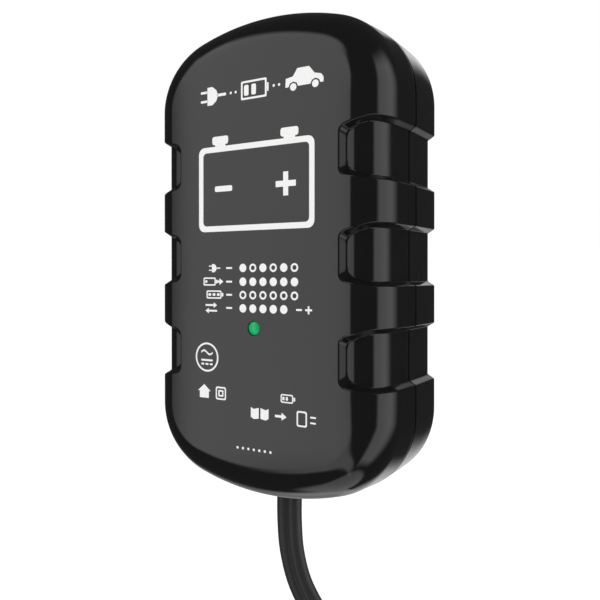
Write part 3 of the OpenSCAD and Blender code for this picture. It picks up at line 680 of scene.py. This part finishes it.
clamps = {"red": makeClamp("red", clampShape["redX"], -1, True),
          "black": makeClamp("black", clampShape["blackX"], 1, False)}
print("clamps made")

blades = [refined("blade_" + side, "blade" + side.title(), 0.3) for side in ("left", "right")]
sleeve = refined("split_sleeve", "splitSleeve", 0.8, 4)
coilTie = refined("coil_tie", "coilTie", 0.35)
screws = refined("housing_screws", "housingScrews", 0.12, 2)
print("blades, sleeve, tie and screws made")


# ---- printed signs on the front ----

signs = {
    "ink": 0.04, "line": 0.42,
    "rows": (-2.6, -5.7, -8.7, -11.7), "rowHeight": 1.9, "gap": 2.75,
    "battery": {"width": 31.5, "height": 19.6, "line": 1.3, "z": 15.6},
    "strip": 37.2, "ring": (-13.4, -23.3, 3.4),
}


def inked(points):
    front = -housing["depth"]
    levels = (front + 0.02, front - signs["ink"] + 0.02)
    return loft("ink", [[(x, y, z - housing["rise"]) for x, z in points] for y in levels])


def inkedFrame(outer, inner):
    # an outline with a hole: round the outer edge, then back round the inner one
    front = -housing["depth"]
    low, high = front + 0.02, front - signs["ink"] + 0.02
    rings = [[(x, y, z - housing["rise"]) for x, z in points]
             for points, y in ((outer, low), (outer, high), (inner, high), (inner, low),
                               (outer, low))]
    piece = loft("ink", rings, closed=False)
    editAll(piece)
    bpy.ops.mesh.remove_doubles(threshold=0.000001)
    bpy.ops.object.mode_set(mode="OBJECT")
    turnOutwards(piece)
    return piece


def circlePoints(x, z, radius, count=32):
    return [(x + radius * math.cos(2 * math.pi * i / count),
             z + radius * math.sin(2 * math.pi * i / count)) for i in range(count)]


def dot(x, z, radius):
    return [inked(circlePoints(x, z, radius))]


def hoop(x, z, radius, line):
    return [inkedFrame(circlePoints(x, z, radius), circlePoints(x, z, radius - line))]


def bar(x, z, width, height):
    return [inked(boxPoints(x, z, width, height, min(width, height) * 0.3))]


def boxFrame(x, z, width, height, line, radius=0.5):
    return [inkedFrame(boxPoints(x, z, width, height, radius),
                       boxPoints(x, z, width - 2 * line, height - 2 * line, radius * 0.6))]


def arrow(x, z, length, height, way=1):
    tail, line = length * 0.5, height * 0.16
    points = [(length / 2, 0), (length / 2 - height * 0.75, height / 2),
              (length / 2 - height * 0.75, line), (-length / 2, line), (-length / 2, -line),
              (length / 2 - height * 0.75, -line), (length / 2 - height * 0.75, -height / 2)]
    return [inked([(x + way * px, z + pz) for px, pz in points][::way])]


def cell(x, z, width, height, filled, line=0.32):
    # a battery lying on its side, with some of its three bars filled
    pieces = boxFrame(x, z, width, height, line, 0.35) + bar(x + width / 2 + 0.3, z, 0.45, height * 0.45)
    step = (width - 2 * line) / 3
    for i in range(filled):
        pieces += bar(x - step + i * step, z, step * 0.62, height - 4 * line)
    return pieces


def plugSign(x, z, size):
    body = [(0, -0.5), (0.35, -0.5), (0.62, -0.3), (0.75, 0), (0.62, 0.3), (0.35, 0.5), (0, 0.5)]
    pieces = [inked([(x + px * size, z + pz * size) for px, pz in body])]
    for side in (-1, 1):
        pieces += bar(x - size * 0.22, z + side * size * 0.25, size * 0.5, size * 0.13)
    return pieces + bar(x + size * 1.0, z, size * 0.6, size * 0.15)


def carSign(x, z, size):
    side = [(-0.5, 0.0), (-0.49, 0.14), (-0.3, 0.17), (-0.18, 0.34), (0.13, 0.34), (0.27, 0.17),
            (0.44, 0.13), (0.5, 0.05), (0.5, -0.06), (0.42, -0.06), (0.38, 0.02), (0.29, 0.055),
            (0.2, 0.02), (0.16, -0.06), (-0.16, -0.06), (-0.2, 0.02), (-0.29, 0.055),
            (-0.38, 0.02), (-0.42, -0.06), (-0.5, -0.06)]
    pieces = [inked([(x + px * size, z + pz * size) for px, pz in side])]
    return pieces + dot(x - 0.29 * size, z - 0.07 * size, 0.085 * size) + dot(
        x + 0.29 * size, z - 0.07 * size, 0.085 * size)


def wave(x, z, width, height, line):
    upper, lower = [], []
    for i in range(17):
        t = i / 16
        centre = height / 2 * math.sin(2 * math.pi * t)
        upper.append((x + width * (t - 0.5), z + centre + line / 2))
        lower.append((x + width * (t - 0.5), z + centre - line / 2))
    return [inked(upper + lower[::-1])]


def bookSign(x, z, width, height):
    pieces = []
    for side in (-1, 1):
        page = [(0.3, -0.42), (2, -0.5), (3, -0.34), (3, 0.5), (2, 0.36), (0.3, 0.5)]
        points = [(x + side * px * width / 6, z + pz * height) for px, pz in page]
        pieces.append(inked(points[::side]))
    return pieces


def makeSigns():
    pieces, line = [], signs["line"]
    # mains plug, battery and car in a row
    z = signs["strip"]
    pieces += plugSign(-13.2, z, 4.2) + dot(-6.4, z, 0.3) + dot(-5, z, 0.3)
    pieces += cell(0, z, 7, 4.2, 2, 0.45) + dot(5.4, z, 0.3) + dot(6.8, z, 0.3)
    pieces += carSign(13.2, z - 0.4, 9.5)
    # a starter battery with its two posts
    big = signs["battery"]
    w, h, thick, z = big["width"], big["height"], big["line"], big["z"]
    pieces += boxFrame(0, z, w, h, thick, 1.6)
    for side in (-1, 1):
        pieces += bar(side * w * 0.3, z + h / 2 + 1.35, 4.6, 1.9)
        pieces += bar(side * w * 0.3, z + h / 2 + 0.2, 3, 0.4)
    pieces += bar(-w * 0.27, z, 5, thick) + [inked(crossPoints(w * 0.27, z, 5.2, thick))]
    # what the lamp shows: plugged in, charging, full, leads swapped
    high, gap = signs["rowHeight"], signs["gap"]
    for row, z in enumerate(signs["rows"]):
        for i in range(6 if row < 3 else 5):
            x = -3 + i * gap
            lit = (i % 2 == 0, True, False, True)[row]
            pieces += dot(x, z, high / 2) if lit else hoop(x, z, high / 2, line)
        pieces += bar(-6.9, z, 1.7, line)
    top, charging, full, swapped = signs["rows"]
    pieces += plugSign(-11.9, top, high)
    pieces += cell(-12.6, charging, 3.6, high, 1) + arrow(-9.4, charging, 1.7, high * 0.8)
    pieces += cell(-11.3, full, 4.4, high, 3)
    pieces += arrow(-12.1, swapped + 0.55, 3.4, 1.3) + arrow(-12.1, swapped - 0.75, 3.4, 1.3, -1)
    pieces += bar(11.9, swapped, 1.5, line) + [inked(crossPoints(14.3, swapped, 1.7, line))]
    # alternating current in, direct current out
    x, z, radius = signs["ring"]
    pieces += hoop(x, z, radius, line) + wave(x, z + 1.1, 3.4, 0.9, line)
    pieces += bar(x, z - 0.7, 3.4, line)
    for i in (-1, 0, 1):
        pieces += bar(x + i * 1.25, z - 1.6, 0.85, line)
    # indoors only, double insulated
    roof = [(-1.9, 0.2), (0, 1.75), (1.9, 0.2), (1.35, 0.2), (1.35, -1.4), (-1.35, -1.4), (-1.35, 0.2)]
    pieces += [inked([(-14.2 + px, -31.4 + pz) for px, pz in roof])]
    pieces += boxFrame(-9.3, -31.4, 3, 3, 0.36) + boxFrame(-9.3, -31.4, 1.5, 1.5, 0.36, 0.2)
    # see the book and the back
    pieces += cell(8.8, -31, 3.2, 1.9, 2, 0.28)
    pieces += bookSign(1.6, -35, 4.8, 2.6) + arrow(7.2, -35, 3, 1.7)
    pieces += boxFrame(12.6, -35, 2.6, 3.4, 0.36) + bar(15.4, -34.4, 1.4, 0.36) + bar(
        15.4, -35.6, 1.4, 0.36)
    for i in range(-3, 4):
        pieces += dot(i * 1.5, -43.2, 0.3)
    return join("printedSigns", pieces)


printedSigns = makeSigns()
print("signs made:", len(printedSigns.data.polygons), "faces")


# ---- finishes ----

class Signal:
    # a node's output that can be used in sums
    def __init__(self, tree, socket):
        self.tree = tree
        self.socket = socket

    def combine(self, operation, other, swapped=False):
        pair = [other, self] if swapped else [self, other]
        wide = any(isinstance(part, (tuple, Vector)) or isinstance(part, Signal)
                   and part.socket.type in ("RGBA", "VECTOR") for part in pair)
        kind = "ShaderNodeVectorMath" if wide else "ShaderNodeMath"
        if wide:
            pair = [(part,) * 3 if isinstance(part, (int, float)) else part for part in pair]
        return addNode(self.tree, kind, {"operation": operation}, {0: pair[0], 1: pair[1]})

    def __add__(self, other):
        return self.combine("ADD", other)

    __radd__ = __add__

    def __sub__(self, other):
        return self.combine("SUBTRACT", other)

    def __rsub__(self, other):
        return self.combine("SUBTRACT", other, True)

    def __mul__(self, other):
        return self.combine("MULTIPLY", other)

    __rmul__ = __mul__


def addNode(tree, kind, settings=None, values=None, output=0):
    # any node: its settings first, then the values or links of its sockets
    node = tree.nodes.new(kind)
    for key, value in (settings or {}).items():
        if key == "stops":
            while len(node.color_ramp.elements) < len(value):
                node.color_ramp.elements.new(0.5)
            for element, (place, colour) in zip(node.color_ramp.elements, value):
                element.position = place
                element.color = colour if len(colour) == 4 else (*colour, 1)
        else:
            setattr(node, key, value)
    for key, value in (values or {}).items():
        socket = node.inputs[key]
        if isinstance(value, Signal):
            tree.links.new(value.socket, socket)
        elif socket.type == "RGBA" and len(value) == 3:
            socket.default_value = (*value, 1)
        else:
            socket.default_value = value
    return Signal(tree, node.outputs[output]) if len(node.outputs) else None


def blendColours(share, first, second):
    tree = share.tree
    return addNode(tree, "ShaderNodeMix", {"data_type": "RGBA"}, {0: share, 6: first, 7: second}, 2)


def newFinish(name):
    material = bpy.data.materials.new(name)
    material.use_nodes = True
    tree = material.node_tree
    tree.nodes.clear()
    surface = addNode(tree, "ShaderNodeBsdfPrincipled")
    addNode(tree, "ShaderNodeOutputMaterial", None, {0: surface})
    place = addNode(tree, "ShaderNodeTexCoord", None, None, "Object")
    return material, tree, surface.socket.node, place


def plug(tree, shader, **values):
    names = {"colour": "Base Color", "rough": "Roughness", "metal": "Metallic", "normal": "Normal",
             "coat": "Coat Weight", "coatRough": "Coat Roughness", "glow": "Emission Color",
             "glowStrength": "Emission Strength", "ior": "IOR", "see": "Transmission Weight",
             "specular": "Specular IOR Level"}
    for key, value in values.items():
        socket = shader.inputs[names[key]]
        if isinstance(value, Signal):
            tree.links.new(value.socket, socket)
        elif socket.type == "RGBA":
            socket.default_value = (*value, 1)
        else:
            socket.default_value = value


def noise(tree, place, scale, detail=3, roughness=0.5):
    return addNode(tree, "ShaderNodeTexNoise", None,
                   {"Vector": place, "Scale": scale, "Detail": detail, "Roughness": roughness})


def bump(tree, height, strength, distance):
    return addNode(tree, "ShaderNodeBump", None,
                   {"Height": height, "Strength": strength, "Distance": distance})


def ramp(tree, value, stops):
    return addNode(tree, "ShaderNodeValToRGB", {"stops": stops}, {0: value})


def mouldedFinish(name, colour, rough, grain=0.1, grainSize=900, shade=0.15, specular=0.5):
    # plastic: slow drift of the colour, fine grain in the gloss and the surface
    material, tree, shader, place = newFinish(name)
    drift = noise(tree, place, 40, 2)
    fine = noise(tree, place, grainSize, 3, 0.6)
    darker = tuple(c * (1 - shade) for c in colour)
    plug(tree, shader, colour=blendColours(drift, darker, colour),
         rough=fine * (rough * 0.3) + (rough * 0.85), specular=specular,
         normal=bump(tree, fine, grain, 0.0001))
    return material


def metalFinish(name, colour, rough, stretch=(1, 1, 30), wear=0.25):
    # metal drawn along one direction, with dull patches
    material, tree, shader, place = newFinish(name)
    lines = noise(tree, place * stretch, 500, 2)
    patches = noise(tree, place, 90, 4, 0.6)
    dull = tuple(c * (1 - wear) for c in colour)
    plug(tree, shader, colour=blendColours(patches, dull, colour), metal=1.0,
         rough=patches * (rough * 0.6) + (rough * 0.7), normal=bump(tree, lines, 0.15, 0.00005))
    return material


finishes = {
    "housing": mouldedFinish("glossBlack", (0.0075, 0.0075, 0.008), 0.08, 0.015, 700, 0.1),
    # painted shade: a near-black, almost unshiny finish on the faces inside the parting groove, for the
    # shadow in the groove
    "seam": mouldedFinish("seamPaintedShade", (0.002, 0.002, 0.002), 0.9, 0.3, 1200, 0.2, specular=0.05),
    "back": mouldedFinish("erodedBlack", (0.022, 0.022, 0.023), 0.5, 0.8, 2600, 0.12),
    "ink": mouldedFinish("printWhite", (0.92, 0.92, 0.91), 0.4, 0.05, 1500, 0.03),
    "twinCord": mouldedFinish("cordBlack", (0.028, 0.028, 0.029), 0.42, 0.25, 1500),
    "redLead": mouldedFinish("cordRed", (0.42, 0.02, 0.016), 0.4, 0.25, 1500),
    "grip": mouldedFinish("mattBlack", (0.02, 0.02, 0.021), 0.5, 0.3, 1200),
    "redPlastic": mouldedFinish("clampRed", (0.45, 0.018, 0.014), 0.35, 0.2, 900),
    "blackPlastic": mouldedFinish("clampBlack", (0.018, 0.018, 0.019), 0.38, 0.2, 900),
    "board": mouldedFinish("boardGreen", (0.02, 0.12, 0.04), 0.3, 0.2, 600),
    "steel": metalFinish("platedSteel", (0.72, 0.72, 0.74), 0.3),
    "brass": metalFinish("bladeBrass", (0.78, 0.6, 0.3), 0.28),
    "copper": metalFinish("jawCopper", (0.8, 0.36, 0.2), 0.34),
    "aluminium": metalFinish("sinkAluminium", (0.8, 0.81, 0.82), 0.4),
    "ferrite": mouldedFinish("coreGrey", (0.06, 0.06, 0.065), 0.6, 0.4, 1500),
    "tape": mouldedFinish("tapeYellow", (0.72, 0.47, 0.06), 0.35, 0.1, 400),
    "sleeveFilm": mouldedFinish("canFilm", (0.02, 0.022, 0.045), 0.25, 0.05, 300),
    "glass": mouldedFinish("fuseGlass", (0.7, 0.75, 0.76), 0.08, 0.02, 200),
    "white": mouldedFinish("partWhite", (0.78, 0.78, 0.75), 0.45, 0.15, 900),
    "ceramic": mouldedFinish("ceramicBlue", (0.04, 0.16, 0.42), 0.35, 0.1, 900),
    "chip": mouldedFinish("chipBlack", (0.015, 0.015, 0.016), 0.55, 0.4, 2000),
}


def makeLensFinish():
    material, tree, shader, place = newFinish("lensGreen")
    speckle = noise(tree, place, 1800, 2)
    colour = blendColours(speckle, (0.0, 0.20, 0.055), (0.0, 0.42, 0.12))
    plug(tree, shader, colour=colour, rough=0.25, glow=colour, glowStrength=0.35)
    return material


finishes["lens"] = makeLensFinish()

nodeFinishes = {
    "copper": ["choke_winding"], "grip": ["cord_grip", "blade_carrier", "output_wires"],
    "board": ["circuit_board"], "glass": ["input_fuse"], "tape": ["input_capacitor",
                                                                 "transformer_winding"],
    "ferrite": ["choke_core", "transformer_core"],
    "chip": ["bridge_rectifier", "switching_transistor", "output_diode", "control_chip",
             "transformer_bobbin"],
    "sleeveFilm": ["bulk_capacitor", "output_capacitor"], "aluminium": ["heat_sink"],
    "white": ["optocoupler", "status_led"], "ceramic": ["safety_capacitor"],
}


def giveFinish(piece, finish):
    piece.data.materials.clear()
    piece.data.materials.append(finishes[finish])


for finish, names in nodeFinishes.items():
    for name in names:
        giveFinish(frame["nodes"][name], finish)
for piece, finish in ((frontShell, "housing"), (rearShell, "housing"), (statusLens, "lens"),
                      (printedSigns, "ink"), (twinCord, "twinCord"), (redLead, "redLead"),
                      (blackLead, "twinCord"), (blades[0], "brass"), (blades[1], "brass"),
                      (sleeve, "grip"), (coilTie, "grip"), (screws, "steel")):
    giveFinish(piece, finish)
for shell in (frontShell, rearShell):
    # the parting groove gets a near-black matt finish, painted shade for the shadow inside it; the wall
    # side is matt
    shell.data.materials.append(finishes["seam"])
    shell.data.materials.append(finishes["back"])
    for face in shell.data.polygons:
        if abs(face.center.y + housing["rearDepth"] * mm) < housing["seam"] * 0.9 * mm:
            face.material_index = 1
        elif face.center.y > -0.7 * mm and face.normal.y > 0.9:
            face.material_index = 2
for colour, clamp in clamps.items():
    for part, finish in (("base", colour + "Plastic"), ("lever", colour + "Plastic"),
                         ("pin", "steel"), ("spring", "steel"), ("basePlate", "copper"),
                         ("leverPlate", "copper")):
        giveFinish(clamp[part], finish)
print("finishes given")


# ---- bodies and stand-ins ----

for piece, nodes, slot in ((frontShell, ["front_housing"], "gloss_black"),
                           (rearShell, ["rear_housing"], "gloss_black"),
                           (statusLens, ["light_pipe"], "green_lens"),
                           (twinCord, ["cord_lead", "cord_coil", "cord_tail"], "cord_black"),
                           (redLead, ["red_lead"], "cord_red"),
                           (blackLead, ["black_lead"], "cord_black"),
                           (blades[0], ["blade_left"], "brass"),
                           (blades[1], ["blade_right"], "brass"),
                           (sleeve, ["split_sleeve"], "cord_black"),
                           (coilTie, ["coil_tie"], "matt_black"),
                           (screws, ["housing_screws"], "plated_steel")):
    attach(piece, "charger")
    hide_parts(*nodes)

for colour, clamp in clamps.items():
    for part, node, slot in (("base", "clamp_base", "clamp_" + colour),
                             ("lever", "clamp_lever", "clamp_" + colour),
                             ("pin", "clamp_pin", "plated_steel"),
                             ("spring", "clamp_spring", "plated_steel"),
                             ("basePlate", "base_plate", "copper"),
                             ("leverPlate", "lever_plate", "copper")):
        moves = part in ("lever", "leverPlate")
        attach(clamp[part], colour + "_lever" if moves else "charger")
        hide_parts(colour + "_" + node)


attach(printedSigns, "charger")


def asPath(route):
    return [tuple(p * mm) for p in route]


# the wound cord and the clamps hang close below the glossy housing, which mirrors the room alone
for piece in [twinCord, redLead, blackLead, sleeve, coilTie] + [
        part for clamp in clamps.values() for part in clamp.values()]:
    piece.visible_glossy = False
asPath(twinRoute)
for lead, route, colour in ((redLead, redRoute, "red"), (blackLead, blackRoute, "black")):
    [c * mm for c in route[0]]
    routeLength(route)
    asPath(route)


# ---- floor, lamps and world ----

studio = {
    "floorZ": -0.276, "world": 0.75,
    "frontLamp": {"place": (-0.50, -0.72, 0.10), "size": (0.62, 0.95), "light": 1.25},
    "sideLamp": {"place": (0.75, -0.25, 0.15), "size": (0.50, 0.90), "light": 0.8},
}


def makeFloor():
    letGo()
    bpy.ops.mesh.primitive_plane_add(size=60, location=(0, 0, studio["floorZ"]))
    floor = bpy.context.object
    floor.name = "floor"
    floor.visible_glossy = False
    material, tree, shader, place = newFinish("floorWhite")
    path = tree.nodes.new("ShaderNodeLightPath")
    seen = Signal(tree, path.outputs["Is Camera Ray"]) + Signal(tree, path.outputs["Is Glossy Ray"])
    seen = seen + Signal(tree, path.outputs["Is Transmission Ray"])
    plug(tree, shader, colour=(0.9, 0.9, 0.9), rough=1.0, specular=0.0, glowStrength=1.0,
         glow=blendColours(seen, (0, 0, 0), (0.36, 0.36, 0.36)))
    floor.data.materials.append(material)


def makeLamp(name, place, size, light, target=(0, -0.015, -0.02)):
    # a soft box whose brightness doesn't change with its size; shiny pieces see the painted room
    letGo()
    bpy.ops.object.light_add(type="AREA", location=place)
    lamp = bpy.context.object
    lamp.name = name
    lamp.data.shape = "RECTANGLE"
    lamp.data.size, lamp.data.size_y = size
    lamp.data.energy = light * math.pi * size[0] * size[1]
    lamp.rotation_euler = (Vector(target) - Vector(place)).to_track_quat("-Z", "Y").to_euler()
    lamp.visible_camera = False
    lamp.visible_glossy = False
    return lamp


def rise(value, low, high):
    # climbs smoothly from 0 to 1 between the two
    return addNode(value.tree, "ShaderNodeMapRange", {"interpolation_type": "SMOOTHSTEP"},
                   {"Value": value, "From Min": low, "From Max": high})


def paintRoom(tree):
    # the room that shiny pieces mirror: a dark one with tall cards at the left front and the
    # right, a paler wall behind and a pale floor, all by compass angle and height in degrees
    way = addNode(tree, "ShaderNodeTexCoord", None, None, "Generated")
    x, y, z = (addNode(tree, "ShaderNodeSeparateXYZ", None, {0: way}, axis) for axis in "XYZ")
    angle = addNode(tree, "ShaderNodeMath", {"operation": "ARCTAN2"}, {0: x, 1: y}) * 57.2958
    height = addNode(tree, "ShaderNodeMath", {"operation": "ARCSINE"}, {0: z}) * 57.2958
    turned = angle - angle.combine("GREATER_THAN", 110) * 360
    above = (height - 15).combine("MAXIMUM", 0)
    spread = above.combine("MINIMUM", 18)
    below = (-10 - height).combine("MAXIMUM", 0)
    card = (rise(turned, -154.5 - above * 0.2 - spread * 0.9, -151.5 - spread * 0.55)
            * (1 - rise(turned, above * 0.55 - 139, above * 0.85 - 136.5))
            * (1 - rise(height, 34, 49)) * rise(height, -19, -14))
    slope = height - (turned + 146) * 0.78 + 13
    foot = (rise(slope, -15, -6) * (1 - rise(slope, 4, 12)) * (1 - rise(turned, -150, -140))
            * rise(turned, -225, -190) * 0.75)
    side = (rise(angle, below * 0.75 + 32, below * 0.75 + 60)
            * (1 - rise(angle, below * 0.8 + 87, below * 0.95 + 100))
            * (1 - rise(height, 30, 52)) * rise(height, -64, -50))
    behind = rise(angle, -72, -50) * (1 - rise(angle, -14, -8))
    ground = ((1 - rise(height, -71, -64)) * 0.85).combine(
        "MAXIMUM", behind * (1 - rise(height, -66, -42)) * 0.8)
    back = behind * rise(height, -68, -60) * (1 - rise(height, -24, -16))
    over = rise(angle, -28, -13) * (1 - rise(angle, -12, 7)) * rise(height, 14, 18)
    over = over * (1 - rise(height, 26, 31))
    under = rise(angle, -40, -16) * (1 - rise(angle, -10, 10)) * (1 - rise(height, -19, -14))
    under = under * rise(height, -62, -50)
    wall = (back * 0.36).combine("MAXIMUM", over * 0.95 + under * 0.78)
    return card.combine("MAXIMUM", foot) * 1.45 + side * 1.25 + ground + wall + 0.045


def makeWorld():
    world = bpy.data.worlds.new("studioWhite")
    bpy.context.scene.world = world
    world.use_nodes = True
    tree = world.node_tree
    tree.nodes.clear()
    path = tree.nodes.new("ShaderNodeLightPath")
    seen = Signal(tree, path.outputs["Is Camera Ray"])
    mirrored = Signal(tree, path.outputs["Is Glossy Ray"])
    level = (studio["world"] * (1 - mirrored) + mirrored * paintRoom(tree)) * (1 - seen) + seen
    light = addNode(tree, "ShaderNodeBackground", None, {"Color": (1, 1, 1), "Strength": level})
    addNode(tree, "ShaderNodeOutputWorld", None, {0: light})


makeFloor()
for name in ("frontLamp", "sideLamp"):
    makeLamp(name, **studio[name])
makeWorld()
bpy.context.scene.view_settings.view_transform = "Standard"
print("studio set")
